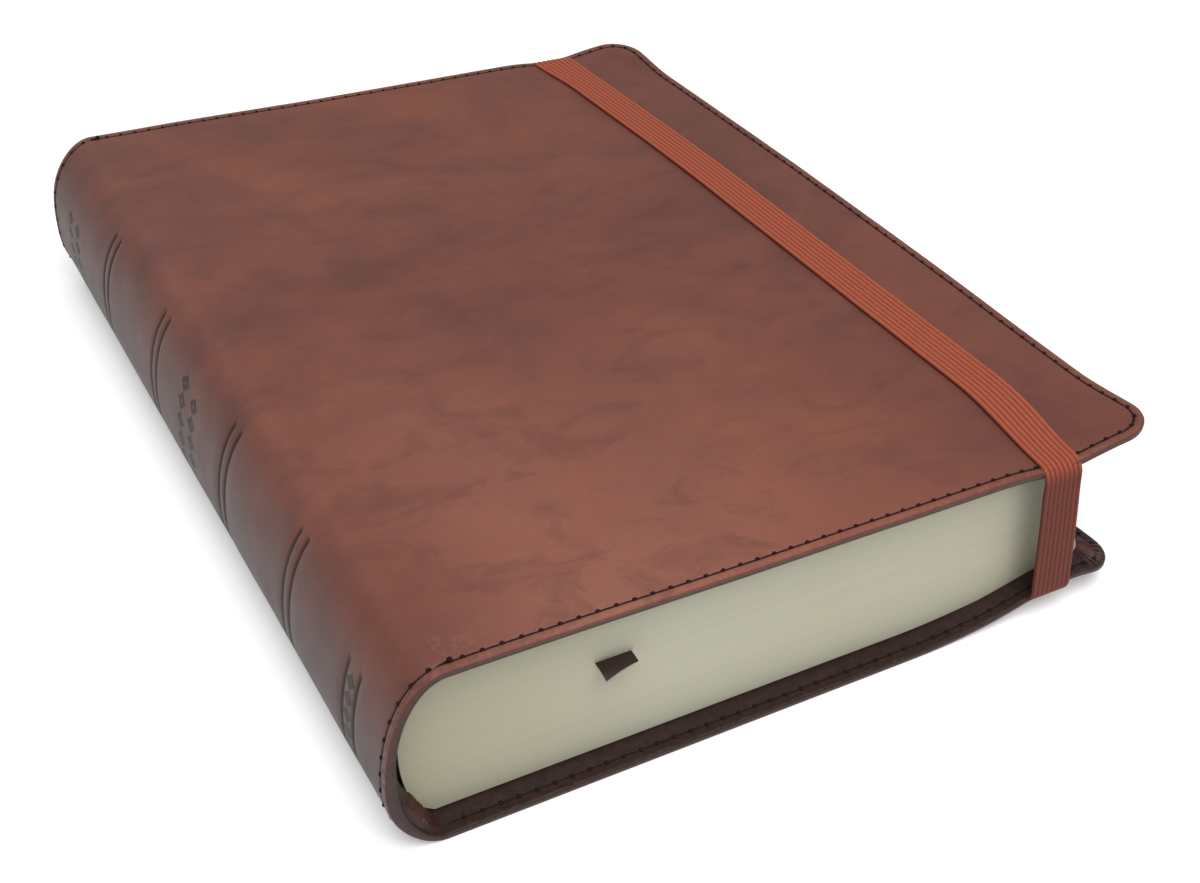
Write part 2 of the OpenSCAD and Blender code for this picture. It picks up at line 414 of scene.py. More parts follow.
def open_weave():
    """Stiff white cotton that holds the sewn backs."""
    m = Finish("white_cloth")
    _, y, z = m.parts(m.where())
    warp = (y * (2 * math.pi / 0.0012)).sine().size()
    weft = (z * (2 * math.pi / 0.0012)).sine().size()
    base = m.mixed((warp * weft).held(), tint(196, 190, 172), tint(232, 228, 214))
    return m.surface(base, 0.9, m.bump(warp + weft, 0.1, 0.6))


BAND_RIBS = 8
LEATHER = cover_leather()
LINING = turned_leather()
PAPER = trimmed_paper()
LEAF = leaf_paper()
THREAD = stitch_thread()
ELASTIC = woven_elastic()
SATIN = satin_ribbon()
CARD = fibre_board("cover_card", (150, 128, 96), (178, 154, 118), 700)
KRAFT = fibre_board("kraft_paper", (122, 88, 56), (150, 112, 76), 900)
CLOTH = open_weave()


# --- Shape of the book -------------------------------------------------------

def ease(value, low, high):
    """0 below low, 1 above high, and smooth between."""
    t = min(max((value - low) / (high - low), 0.0), 1.0)
    return t * t * (3 - 2 * t)


def near_end(y):
    """0 over the pages, 1 where the covers stand out past head and tail."""
    return ease(abs(y), BLOCK_H - 22, HALF_H)


def band_at(y):
    """The band's middle: drawn in towards the spine at the tail, and slanting at the head."""
    slant = 3.4 * (max(y - 20, 0) / 100) ** 1.6
    return BAND_X + 0.1 - slant - 3.7 * ease(-y, HALF_H - 34, HALF_H + 2)


def soft(x, y, scale, seed):
    """Slow random swell, between about -1 and 1."""
    return noise.noise(Vector((x / scale, y / scale, seed)))


def front_rise(x, y):
    """How far the front cover stands above its flat shape: it dips under the band."""
    off = x - band_at(y)
    dip = -math.exp(-(off / 8.5) ** 2) * (0.35 + 0.75 * near_end(y))
    corner = ease(off, 4, 26) * (2.2 * near_end(y) - 0.4)
    sag = -0.5 * ease(x, ROUND_X + 20, ROUND_X + 70)
    calm = ease(x, ROUND_X, ROUND_X + 14)
    return calm * (dip + corner + sag + 0.22 * soft(x, y, 46, 3.0) + 0.07 * soft(x, y, 17, 8.0))


def back_rise(x, y):
    """How far the back cover curls up towards the fore-edge, most where the band holds it."""
    curl = 3.0 * ease(x, 30, 80)
    pull = 3.6 * near_end(y) * math.exp(-((x - BAND_X - 9) / 17) ** 2)
    calm = ease(x, ROUND_X, ROUND_X + 14)
    return calm * (curl + pull + 0.1 * soft(x, y, 30, 21.0) * ease(x, 0, 40))


def edge_drop(depth, radius):
    """Drop of a rounded edge at a distance in from it."""
    if depth >= radius:
        return 0.0
    return radius - math.sqrt(max(radius ** 2 - (radius - depth) ** 2, 0))


def groove(depth):
    """1 in the stitch line's groove, and 0 away from it."""
    return math.exp(-((depth - STITCH_IN) / 0.32) ** 2)


def piping(depth):
    """The margin outside the stitches is drawn up into a soft roll."""
    return 0.16 * math.exp(-((depth - 1.4) / 0.6) ** 2)


# --- Mesh helpers ------------------------------------------------------------

def piece(name, points, faces, material, values=None, smooth=True):
    """A mesh object from points in millimetres; values holds point attributes by name."""
    mesh = bpy.data.meshes.new(name)
    mesh.from_pydata([Vector(p) * MM for p in points], [], faces)
    for key, numbers in (values or {}).items():
        layer = mesh.attributes.new(key, "FLOAT", "POINT")
        layer.data.foreach_set("value", numbers)
    work = bmesh.new()
    work.from_mesh(mesh)
    bmesh.ops.remove_doubles(work, verts=work.verts, dist=2e-6)
    bmesh.ops.recalc_face_normals(work, faces=work.faces)
    work.to_mesh(mesh)
    work.free()
    mesh.materials.append(material)
    mesh.polygons.foreach_set("use_smooth", [smooth] * len(mesh.polygons))
    mesh.set_sharp_from_angle(angle=math.radians(42))
    made = bpy.data.objects.new(name, mesh)
    bpy.context.scene.collection.objects.link(made)
    return made


def patch(x0, x1, half_h, radius, insets, columns, rows, arc):
    """Points (x, y, inset) and faces of a plate with two round fore corners, and its outline.

    Rings follow the three free sides at each inset; a grid fills the middle.
    """
    points, faces, rings = [], [], []

    def add(x, y, depth):
        points.append((x, y, depth))
        return len(points) - 1

    for depth in insets:
        far = max(depth, radius)
        bend = max(radius - depth, 0.0)
        xs = [x0 + (x1 - far - x0) * i / columns for i in range(columns + 1)]
        ys = [(half_h - far) * (2 * j / rows - 1) for j in range(rows + 1)]
        ring = [add(x, -half_h + depth, depth) for x in xs]
        for sign in (-1, 1):
            for k in range(1, arc):
                turn = math.pi / 2 * (k / arc if sign > 0 else k / arc - 1)
                ring.append(add(x1 - far + bend * math.cos(turn),
                                sign * (half_h - far) + bend * math.sin(turn), depth))
            if sign < 0:
                ring += [add(x1 - depth, y, depth) for y in ys]
        ring += [add(x, half_h - depth, depth) for x in reversed(xs)]
        rings.append(ring)
    for outer, inner in zip(rings, rings[1:]):
        for k in range(len(outer) - 1):
            faces.append((outer[k], outer[k + 1], inner[k + 1], inner[k]))
    grid = [[add(x, y, insets[-1] + min(half_h - insets[-1] - abs(y), x1 - insets[-1] - x))
             for x in xs] for y in ys]
    for j in range(rows):
        for i in range(columns):
            faces.append((grid[j][i], grid[j][i + 1], grid[j + 1][i + 1], grid[j + 1][i]))
    spine_side = ([ring[-1] for ring in rings] + [row[0] for row in reversed(grid)]
                  + [ring[0] for ring in reversed(rings)])
    outline = rings[0] + spine_side[1:-1]
    return points, faces, outline


def slab(name, plate, levels, place, material, marks=()):
    """A closed plate: place(x, y, inset, level) gives each point, and walls join the levels.

    marks are the names of the attributes that place adds after x, y and z.
    """
    flat, faces, outline = plate
    count = len(flat)
    first, last = levels[0], levels[-1]
    placed = [place(x, y, d, first) for x, y, d in flat] + [place(x, y, d, last) for x, y, d in flat]
    low = list(outline)
    walls = []
    for level in levels[1:]:
        if level == last:
            high = [k + count for k in outline]
        else:
            high = list(range(len(placed), len(placed) + len(outline)))
            placed += [place(*flat[k], level) for k in outline]
        for k in range(len(outline)):
            n = (k + 1) % len(outline)
            walls.append((low[k], low[n], high[n], high[k]))
        low = high
    both = [tuple(reversed(f)) for f in faces] + [tuple(k + count for k in f) for f in faces] + walls
    values = {key: [p[3 + n] for p in placed] for n, key in enumerate(marks)}
    return piece(name, [p[:3] for p in placed], both, material, values)


# --- Covers ------------------------------------------------------------------

EDGE_INSETS = [0, 0.05, 0.18, 0.4, 0.65, 0.95, 1.3, 1.7, 1.95, 2.15, 2.4, 2.65, 2.85, 3.3, 4.2,
               5.5, 7.0, 8.5, 10.0, TURN_IN - 0.3, TURN_IN, 18.0]
ROLL = 0.42                                   # radius of the folded leather edge
PLEATS = 8


def pleat(x, y, depth):
    """Gathers of the leather that is folded in round a corner, on the inside of a cover."""
    cx, cy = FORE_X - CORNER, HALF_H - CORNER
    if x < cx or abs(y) < cy:
        return 0.0
    turn = math.atan2(abs(y) - cy, x - cx) / (math.pi / 2)
    fade = ease(depth, 0.2, 1.4) * (1 - ease(depth, 8, 9.8)) * ease(turn, 0, 0.08)
    fade *= 1 - ease(turn, 0.92, 1)
    return 0.85 * fade * (abs(math.sin(math.pi * PLEATS * turn)) - 0.6)


def outer_relief(depth):
    """Height of the leather's outside over a plain plate, the painted shade of its stitch groove, and
    its wear mark.
    """
    rise = piping(depth) - 0.3 * groove(depth) - edge_drop(depth, ROLL)
    wear_and_highlight = math.exp(-((depth - 0.8) / 0.6) ** 2)
    return rise, 0.35 * groove(depth), wear_and_highlight


def fold_shade(depth):
    """Painted shade: dark on the raw edge below the fold."""
    return 0.6 * (1 - ease(depth, 0.06, 0.3))


def pared(depth, full):
    """Thickness of a cover at a distance in from its edge."""
    return EDGE_T + (full - EDGE_T) * ease(depth, 1.5, 6.5) - edge_drop(depth, 0.35)


def bowed(x, y):
    """How far a cover's fore-edge bows outwards in its middle and draws in at its corners."""
    return (1.8 * math.cos(0.5 * math.pi * y / HALF_H) - 1.3) * ease(x, 30, FORE_X)


def cover_point(x, y, depth, outside, front):
    """A point of a leather cover, and its marks: tooling with painted shade, wear with painted
    highlight, and the dark inside with painted shade.
    """
    rise, tooling_and_shade, wear_and_highlight = outer_relief(depth)
    if outside:
        thick, inside = -rise, fold_shade(depth)
    else:
        fold = pleat(x, y, depth)
        thick = SKIN if depth > TURN_IN - 0.1 else pared(depth, COVER) + fold
        # Inside: a painted highlight on the ridges of the corner gathers, painted shade in their valleys
        # and in the stitch groove, and a painted highlight along the inner rim.
        inside = 1.0 - max(1.6 * fold, 0)
        tooling_and_shade = 0.3 * groove(depth) + max(-3 * fold, 0)
        wear_and_highlight = max(1.6 * fold, 0.6 * math.exp(-((depth - 0.42) / 0.2) ** 2))
    drawn = x + bowed(x, y)
    if front:
        # Painted glints of the grain near the spine's shoulder.
        wear_and_highlight = max(wear_and_highlight, painted_grain_glint(x, y)) if outside else wear_and_highlight
        return drawn, y, TOP + front_rise(x, y) - thick, tooling_and_shade, wear_and_highlight, inside
    # Painted shade: the back cover is darker along its edges, on both sides.
    inside = max(inside, 0.85 * (1 - ease(depth, 0.5, 6)))
    return drawn, y, back_rise(x, y) + thick, tooling_and_shade, wear_and_highlight, inside


def painted_grain_glint(x, y):
    """Painted glints of the grain on the corner where the tail edge meets the spine's shoulder."""
    return 0.9 * math.exp(-((x - ROUND_X - 2) / 7) ** 2 - ((y + HALF_H - 5.5) / 4.5) ** 2)


def leather_cover(name, front):
    plate = patch(ROUND_X, FORE_X, HALF_H, CORNER, EDGE_INSETS, 52, 70, 48)
    return slab(name, plate, (False, True),
                lambda x, y, d, outside: cover_point(x, y, d, outside, front),
                LEATHER, ("tooling_and_shade", "wear_and_highlight", "inside"))


def layer(name, front, z_in, z_out, inset, corner, start, material):
    """A flat sheet inside a cover, between two depths from the cover's outside."""
    plate = patch(start, FORE_X - inset, HALF_H - inset, corner, [0, 0.3, corner + 0.01], 30, 36, 6)

    def place(x, y, depth, inner):
        deep = z_out if inner else z_in
        if front:
            return x, y, TOP + front_rise(x, y) - deep
        return x, y, back_rise(x, y) + deep
    return slab(name, plate, (False, True), place, material)


def blend_front(made):
    """Bakes the piece's placement into its mesh."""
    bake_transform(made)


front_cover = leather_cover("front_cover_leather", True)
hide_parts("front_leather", "front_turn_in")
blend_front(front_cover)

back_cover = leather_cover("back_cover_leather", False)
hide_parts("back_leather", "back_turn_in")
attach(back_cover, "root")

INNER_START = STIFF_X + 0.6
for part, front, body in (("front", True, "front_cover"), ("back", False, "root")):
    card = layer(part + "_card", front, SKIN + GLUE, COVER - LINING_T - 0.02, CARD_IN, 4.0,
                 INNER_START, CARD)
    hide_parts(part + "_board")
    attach(card, body)
    lining = layer(part + "_lining", front, COVER - LINING_T, COVER - GLUE, TURN_IN - 0.6, 1.5,
                   INNER_START, LINING)
    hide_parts(part + "_pastedown")
    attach(lining, body)


# --- Spine -------------------------------------------------------------------

def spine_rows():
    """Heights of the mesh rows: close at the ends and at every tooled line."""
    ends = [HALF_H - d for d in EDGE_INSETS if d <= TURN_IN]
    rows = set(ends) | {-y for y in ends}
    rows |= {(HALF_H - TURN_IN) * (k / 26 - 1) for k in range(53)}
    for line in tooled_lines():
        rows |= {line + step for step in (-0.9, -0.55, -0.3, 0, 0.3, 0.55, 0.9)}
    return sorted(rows)


def tooled_lines():
    """Heights of the lines pressed into the spine."""
    pairs = [y + gap for y in TOOLED for gap in (0, PAIR_GAP)]
    return [y - HALF_H for y in pairs + PANEL]


def spine_point(angle, y, depth):
    """A point of the spine's round at a depth below its outside; angle is in degrees."""
    t = math.radians(angle)
    bulge = 0.5 + 1.0 * math.exp(-((angle + 34) / 28) ** 2)
    bulge += 0.8 * ease(y, 50, HALF_H) * math.exp(-((angle - 30) / 30) ** 2)
    bulge *= 1 - ease(depth, 0.8, 1.8)
    return (ROUND_X - (ROUND + bulge - depth) * math.cos(t), y, MID + (MID - depth) * math.sin(t))


def tooling_at(angle, y):
    """1 in a tooled line, and 0 away from it."""
    wide = [y0 - HALF_H for y0 in PANEL]
    best = 0.0
    for line in tooled_lines():
        reach = 34 if line in wide else 56
        mark = math.exp(-((y - line) / 0.52) ** 2) * (1 - ease(abs(angle - 2), reach - 5, reach))
        best = max(best, mark)
    return best


def spine_cover():
    """The spine's leather, with its ends turned in and crumpled at the foot of the round."""
    rows, steps = spine_rows(), 60
    points = []
    marks = {"tooling_and_shade": [], "wear_and_highlight": [], "inside": [], "turn": [], "spine": []}
    for inside in (False, True):
        for y in rows:
            depth = HALF_H - abs(y)
            # stitched is the painted shade of the stitch groove, and worn the wear by the edge.
            rise, stitched, worn = outer_relief(depth)
            for k in range(steps + 1):
                angle = -90 + 180 * k / steps
                mark = tooling_at(angle, y)
                ripple = 0.18 * math.sin(math.radians(90 - abs(angle))) * soft(angle / 3, y, 24, 5.0)
                if inside:
                    low = ease(-angle, 20, 50) * (1 - ease(-angle, 62, 88)) * ease(depth, 0.6, 2)
                    folds = low * (0.5 + 0.9 * abs(math.sin(angle * 0.5 + 1.7 * soft(angle, y, 6, 2.0))))
                    lining = 0.9 * (1 - ease(abs(angle), 40, 85)) * ease(depth, 0.6, 3)
                    turned = pared(depth, COVER) + lining
                    deep = turned + folds if depth < TURN_IN else SKIN
                else:
                    deep = 0.42 * mark - rise - ripple
                points.append(spine_point(angle, y, deep))
                # Outside, the tooling mark takes the painted shade of the stitch groove, and the inside
                # mark the painted shade below the fold.
                marks["tooling_and_shade"].append(0.0 if inside else max(mark, stitched))
                marks["wear_and_highlight"].append(0.0 if inside else worn)
                marks["inside"].append(1 - 0.25 * low if inside else fold_shade(depth))
                marks["turn"].append(angle)
                marks["spine"].append(float(not inside))
    wide, tall = steps + 1, len(rows)
    inner = wide * tall
    faces = []
    for j in range(tall - 1):
        for k in range(steps):
            a = j * wide + k
            faces.append((a, a + 1, a + 1 + wide, a + wide))
            faces.append((a + inner, a + wide + inner, a + 1 + wide + inner, a + 1 + inner))
    rim = ([k for k in range(wide)] + [j * wide + steps for j in range(1, tall)]
           + [(tall - 1) * wide + k for k in range(steps - 1, -1, -1)]
           + [j * wide for j in range(tall - 2, 0, -1)])
    for a, b in zip(rim, rim[1:] + rim[:1]):
        faces.append((a, a + inner, b + inner, b))
    return piece("spine_cover_leather", points, faces, LEATHER, marks)


def blend_spine(made):
    """Bakes the piece's placement into its mesh."""
    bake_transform(made)


spine = spine_cover()
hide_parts("spine_leather", "spine_turn_ins")
blend_spine(spine)

for name, material in (("spine_liner", CARD), ("spine_paper", KRAFT), ("mull_cloth", CLOTH),
                       ("sewing_thread", CLOTH)):
    made = bpy.data.objects.new(name + "_glued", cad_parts[name].data.copy())
    bpy.context.scene.collection.objects.link(made)
    made.data.materials.clear()
    made.data.materials.append(material)
    work = bmesh.new()
    work.from_mesh(made.data)
    reach = (HALF_H - TURN_IN - 0.5) * MM
    for vert in work.verts:
        vert.co.y = min(max(vert.co.y, -reach), reach)
    bmesh.ops.remove_doubles(work, verts=work.verts, dist=1e-6)
    bmesh.ops.dissolve_limit(work, angle_limit=0.01, verts=work.verts, edges=work.edges)
    bmesh.ops.triangulate(work, faces=work.faces)
    work.to_mesh(made.data)
    work.free()
    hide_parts(name)
    blend_spine(made)


# --- Stitching ---------------------------------------------------------------

def stitch_tree():
    """Geometry nodes that lay one thread stitch at each pitch along a path."""
    tree = bpy.data.node_groups.new("edge_stitches", "GeometryNodeTree")
    face = tree.interface
    face.new_socket("Geometry", in_out="INPUT", socket_type="NodeSocketGeometry")
    for name in ("Pitch", "Thread width", "Hole width"):
        face.new_socket(name, in_out="INPUT", socket_type="NodeSocketFloat")
    face.new_socket("Material", in_out="INPUT", socket_type="NodeSocketMaterial")
    face.new_socket("Geometry", in_out="OUTPUT", socket_type="NodeSocketGeometry")
    nodes, links = tree.nodes, tree.links

    def add(kind, **settings):
        made = nodes.new(kind)
        for name, value in settings.items():
            setattr(made, name, value)
        return made

    start, end = add("NodeGroupInput"), add("NodeGroupOutput")
    curve = add("GeometryNodeMeshToCurve")
    spaced = add("GeometryNodeResampleCurve", mode="LENGTH")
    tangent = add("GeometryNodeInputTangent")
    aim = add("FunctionNodeAlignEulerToVector", axis="X")
    ball = add("GeometryNodeMeshUVSphere")
    ball.inputs["Segments"].default_value = 8
    ball.inputs["Rings"].default_value = 6
    ball.inputs["Radius"].default_value = 0.5
    size, spot = add("ShaderNodeCombineXYZ"), add("ShaderNodeCombineXYZ")
    half = add("ShaderNodeMath", operation="MULTIPLY")
    half.inputs[1].default_value = 0.5
    across = add("ShaderNodeCombineXYZ")
    thread, hole = add("GeometryNodeTransform"), add("GeometryNodeTransform")
    pair = add("GeometryNodeJoinGeometry")
    lay = add("GeometryNodeInstanceOnPoints")
    real = add("GeometryNodeRealizeInstances")
    paint = add("GeometryNodeSetMaterial")
    smooth = add("GeometryNodeSetShadeSmooth")
    links.new(start.outputs["Geometry"], curve.inputs[0])
    links.new(curve.outputs[0], spaced.inputs["Curve"])
    links.new(start.outputs["Pitch"], spaced.inputs["Length"])
    links.new(tangent.outputs[0], aim.inputs["Vector"])
    links.new(start.outputs["Pitch"], size.inputs[0])
    links.new(start.outputs["Thread width"], size.inputs[1])
    links.new(start.outputs["Thread width"], size.inputs[2])
    links.new(start.outputs["Pitch"], half.inputs[0])
    links.new(half.outputs[0], across.inputs[0])
    for socket in spot.inputs:
        links.new(start.outputs["Hole width"], socket)
    links.new(ball.outputs["Mesh"], thread.inputs["Geometry"])
    links.new(size.outputs[0], thread.inputs["Scale"])
    links.new(ball.outputs["Mesh"], hole.inputs["Geometry"])
    links.new(spot.outputs[0], hole.inputs["Scale"])
    links.new(across.outputs[0], hole.inputs["Translation"])
    links.new(hole.outputs[0], pair.inputs[0])
    links.new(thread.outputs[0], pair.inputs[0])
    links.new(spaced.outputs[0], lay.inputs["Points"])
    links.new(pair.outputs[0], lay.inputs["Instance"])
    links.new(aim.outputs[0], lay.inputs["Rotation"])
    links.new(lay.outputs[0], smooth.inputs[0])
    links.new(smooth.outputs[0], real.inputs[0])
    links.new(real.outputs[0], paint.inputs[0])
    links.new(start.outputs["Material"], paint.inputs["Material"])
    links.new(paint.outputs[0], end.inputs[0])
    return tree


STITCHES = stitch_tree()


def stitched(name, route, pitch=STITCH_PITCH, width=0.5, hole=1.2):
    """Thread stitches along a route of points in millimetres, as one plain mesh."""
    mesh = bpy.data.meshes.new(name + "_route")
    mesh.from_pydata([Vector(p) * MM for p in route], [(k, k + 1) for k in range(len(route) - 1)], [])
    path = bpy.data.objects.new(name + "_route", mesh)
    bpy.context.scene.collection.objects.link(path)
    modifier = path.modifiers.new("stitches", "NODES")
    modifier.node_group = STITCHES
    sizes = {"Pitch": pitch * MM, "Thread width": width * MM, "Hole width": hole * MM,
             "Material": THREAD}
    for item in STITCHES.interface.items_tree:
        if item.in_out == "INPUT" and item.name in sizes:
            modifier[item.identifier] = sizes[item.name]
    bpy.context.view_layer.update()
    done = bpy.data.meshes.new_from_object(path.evaluated_get(bpy.context.evaluated_depsgraph_get()))
    bpy.data.objects.remove(path)
    done.name = name
    made = bpy.data.objects.new(name, done)
    bpy.context.scene.collection.objects.link(made)
    return made


def edge_route(front, deep=0.24):
    """The stitch line round the three free sides of a cover, at a depth from its outside."""
    inset, step = STITCH_IN, 1.0
    x1, y1, bend = FORE_X - inset, HALF_H - inset, CORNER - inset
    flat = [(ROUND_X + 2.0 + k * step, -y1) for k in range(int((x1 - bend - ROUND_X - 2.0) / step))]
    flat += [(x1 - bend + bend * math.sin(t), -y1 + bend - bend * math.cos(t))
             for t in (math.pi / 2 * k / 12 for k in range(13))]
    rise = [(x1, y) for y in (-y1 + bend + k * step for k in range(1, int(2 * (y1 - bend) / step)))]
    route = flat + rise + [(x, -y) for x, y in reversed(flat)]
    level = [TOP + front_rise(x, y) - deep if front else back_rise(x, y) + deep for x, y in route]
    return [(x + bowed(x, y), y, z) for (x, y), z in zip(route, level)]


front_stitches = stitched("front_edge_stitches", edge_route(True))
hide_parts("front_stitching")
blend_front(front_stitches)
back_stitches = stitched("back_edge_stitches", edge_route(False))
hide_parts("back_stitching")
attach(back_stitches, "root")
inner_stitches = stitched("back_inner_stitches", edge_route(False, pared(STITCH_IN, COVER) - 0.1))
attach(inner_stitches, "root")
inner_stitches = stitched("front_inner_stitches", edge_route(True, pared(STITCH_IN, COVER) - 0.1))
blend_front(inner_stitches)
for name, sign in (("tail", -1), ("head", 1)):
    turned = [spine_point(-88 + 176 * k / 90, sign * (HALF_H - STITCH_IN), 0.3) for k in range(91)]
    made = stitched(name + "_spine_stitches", turned)
    if sign < 0:
        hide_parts("spine_stitching")
    blend_spine(made)


# --- Pages -------------------------------------------------------------------

def back_of_pages(z):
    """Where the rounded backs of the pages are at a height."""
    lift = min(abs(z - MID) / BLOCK_B, 1.0)
    return ROUND_X - BLOCK_A * math.sqrt(1 - lift * lift)


def fore_of_pages(z):
    """Where the hollowed fore-edge is at a height; it slants back towards the top."""
    lift = min(abs(z - MID) / BLOCK_B, 1.0)
    return FORE_PAGES - HOLLOW * (1 - lift * lift) - 4.5 * ease(z, 6, TOP - 6)


def half_block_plate():
    """Plan of the pages from spine to fore-edge, as patch() makes it."""
    return patch(SPINE_X + BACKING, FORE_PAGES, BLOCK_H, PAGE_CORNER, [0, 1.0, PAGE_CORNER + 0.01],
                 40, 44, 10)


def page_half(name, z_cover, front):
    """One half of the pages: it follows its cover on one face and is flat on the other."""
    start = SPINE_X + BACKING
    span = FORE_PAGES - start
    z_mid = MID + (0.01 if front else -0.01)

    def place(x, y, depth, level):
        z = z_mid + (z_cover - z_mid) * level
        low, high = back_of_pages(z), fore_of_pages(z)
        share = (x - start) / span
        x = low + share * (high - low)
        follow = front_rise(x, y * 0.9) if front else back_rise(x, y * 0.9)
        return x, y, z + follow * level
    return slab(name, half_block_plate(), [k / 10 for k in range(11)], place, PAPER)


half = len([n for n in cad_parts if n.startswith("page_section_")]) // 2
back_pages = page_half("back_half_pages", BLOCK_LOW + 0.05, False)
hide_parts(*(f"page_section_{k}" for k in range(1, half + 1)))
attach(back_pages, "root")
front_pages = page_half("front_half_pages", TOP - BLOCK_LOW - 0.05, True)
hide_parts(*(f"page_section_{k}" for k in range(half + 1, 2 * half + 1)))
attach(front_pages, "front_pages")


def leaf(name, z, start, body, rise, node):
    """A single leaf at a height; one with a rise lies along its cover, and the others are flat."""
    fore = fore_of_pages(z) - 0.3
    half_t = 0.05 if rise else 0.02
    plate = patch(start, fore, BLOCK_H - 0.3, PAGE_CORNER,
                  [0, PAGE_CORNER + 0.01], 24, 28, 8)

    def place(x, y, depth, upper):
        level = z + rise(x, y * 0.9) if rise else z
        return x, y, level + (half_t if upper else -half_t)
    made = slab(name, plate, (False, True), place, LEAF)
    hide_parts(node)
    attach(made, body)


leaf("front_endpaper", TOP - COVER - 0.2, STIFF_X + 4, "front_flyleaf", front_rise,
     "front_flyleaf")
leaf("back_endpaper", COVER + 0.2, STIFF_X + 4, "root", back_rise, "back_flyleaf")
loose = [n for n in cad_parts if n.startswith("loose_leaf_")]
for k in range(1, len(loose) + 1):
    leaf(f"turning_leaf_{k}", MID + (k - 2) * 0.045, SPINE_X + 7.5, f"loose_leaf_{k}", None,
         f"loose_leaf_{k}")


# --- Elastic band ------------------------------------------------------------

def band_route():
    """Middle line of the band from slot to slot: points with x, y, z and a share of its width."""
    x0 = BAND_X + 1.2
    half_t = BAND_T / 2

    def end(sign):
        edge = HALF_H + 0.15 + half_t
        bend, flat = 3.2, 1.08 if sign > 0 else 0.86
        low = back_rise(x0, sign * HALF_H)
        top_x = band_at(sign * HALF_H)
        high = TOP + front_rise(top_x, sign * HALF_H)
        run = [(x0, BAND_END, back_rise(x0, BAND_END) + 1.0, 0.95),
               (x0, BAND_END + 2.5, back_rise(x0, BAND_END + 2.5) + 0.1, 0.95),
               (x0, BAND_END + 6, back_rise(x0, BAND_END + 6) - half_t, 0.95),
               (x0, HALF_H - 1.6, low - half_t - 0.1, 0.95),
               (x0, HALF_H - 0.2, low - half_t + 0.35, 0.94),
               (x0 - 0.1, edge, low + 1.6, 0.93)]
        for k in range(1, 12):
            t = k / 12
            run.append((x0 + (top_x - x0) * t, edge + 0.15 * math.sin(math.pi * t),
                        low + 1.6 + (high - low - 5.2) * t, 0.92 + (flat - 0.92) * t))
        for k in range(0, 7):
            t = math.pi / 2 * k / 6
            y = edge - bend + bend * math.cos(t)
            run.append((band_at(sign * y), y, high + half_t - bend + bend * math.sin(t) + 0.1, flat))
        for k in range(1, 7):
            y = edge - bend - 3.0 * k
            x = band_at(sign * y)
            z = TOP + front_rise(x, sign * y) + half_t + 0.12
            run.append((x, y, z, flat + (BAND_NARROW - flat) * ease(k, 0, 7)))
        return [(x, sign * y, z, w) for x, y, z, w in run]

    tail, head = end(-1), end(1)
    reach = abs(tail[-1][1])
    steps = 60
    route = []
    for k in range(1, steps):
        y = -reach + 2 * reach * k / steps
        route.append((band_at(y), y, TOP + front_rise(band_at(y), y) + half_t + 0.1,
                      BAND_NARROW))
    return tail + route + head[::-1]


def elastic():
    """The band as a ribbed strip swept along its route, and its length."""
    route = band_route()
    centres = [Vector(p[:3]) for p in route]
    dense = []
    for k in range(len(centres) - 1):
        before = centres[max(k - 1, 0)]
        after = centres[min(k + 2, len(centres) - 1)]
        gap = (centres[k + 1] - centres[k]).length
        parts = max(1, round(gap / 1.2))
        for n in range(parts):
            t = n / parts
            dense.append((catmull(before, centres[k], centres[k + 1], after, t),
                          route[k][3] + (route[k + 1][3] - route[k][3]) * t))
    dense.append((centres[-1], route[-1][3]))
    ribs = 8 * BAND_RIBS
    points, faces, uv_along, valley_shade, painted_leg_shade = [], [], [], [], []
    length = 0.0
    for k, (centre, width) in enumerate(dense):
        ahead = dense[min(k + 1, len(dense) - 1)][0] - dense[max(k - 1, 0)][0]
        ahead.normalize()
        if k:
            length += (centre - dense[k - 1][0]).length
        across = Vector((1, 0, 0))
        across = (across - ahead * across.dot(ahead)).normalized()
        out = across.cross(ahead)
        for face in (1, -1):
            for n in range(ribs + 1):
                s = n / ribs if face > 0 else 1 - n / ribs
                lobe = abs(math.sin(math.pi * BAND_RIBS * s))
                edge = min(s, 1 - s) * BAND_W
                thick = (0.30 + 0.20 * lobe ** 0.8) * min(1.0, 0.45 + edge / 0.5)
                points.append(centre + across * (s - 0.5) * BAND_W * width + out * face * thick)
                # Painted shade between the cords.
                valley_shade.append((1 - lobe) ** 1.5)
                # Painted shade on the band where it runs down below the top.
                painted_leg_shade.append(1 - ease(centre.z, TOP - 5, TOP - 0.5))
                uv_along.append((s, length))
    around = 2 * (ribs + 1)
    for k in range(len(dense) - 1):
        for n in range(around):
            m = (n + 1) % around
            a, b = k * around, (k + 1) * around
            faces.append((a + n, b + n, b + m, a + m))
    last = (len(dense) - 1) * around
    faces.append(tuple(range(around)))
    faces.append(tuple(reversed([last + n for n in range(around)])))
    mesh = bpy.data.meshes.new("elastic_closing_band")
    mesh.from_pydata([p * MM for p in points], [], faces)
    for key, numbers in (("valley_shade", valley_shade), ("painted_leg_shade", painted_leg_shade)):
        mesh.attributes.new(key, "FLOAT", "POINT").data.foreach_set("value", numbers)
    strip = mesh.uv_layers.new(name="strip")
    for loop in mesh.loops:
        strip.data[loop.index].uv = uv_along[loop.vertex_index]
    work = bmesh.new()
    work.from_mesh(mesh)
    bmesh.ops.recalc_face_normals(work, faces=work.faces)
    work.to_mesh(mesh)
    work.free()
    mesh.materials.append(ELASTIC)
    mesh.polygons.foreach_set("use_smooth", [True] * len(mesh.polygons))
    made = bpy.data.objects.new("elastic_closing_band", mesh)
    bpy.context.scene.collection.objects.link(made)
    return made, length


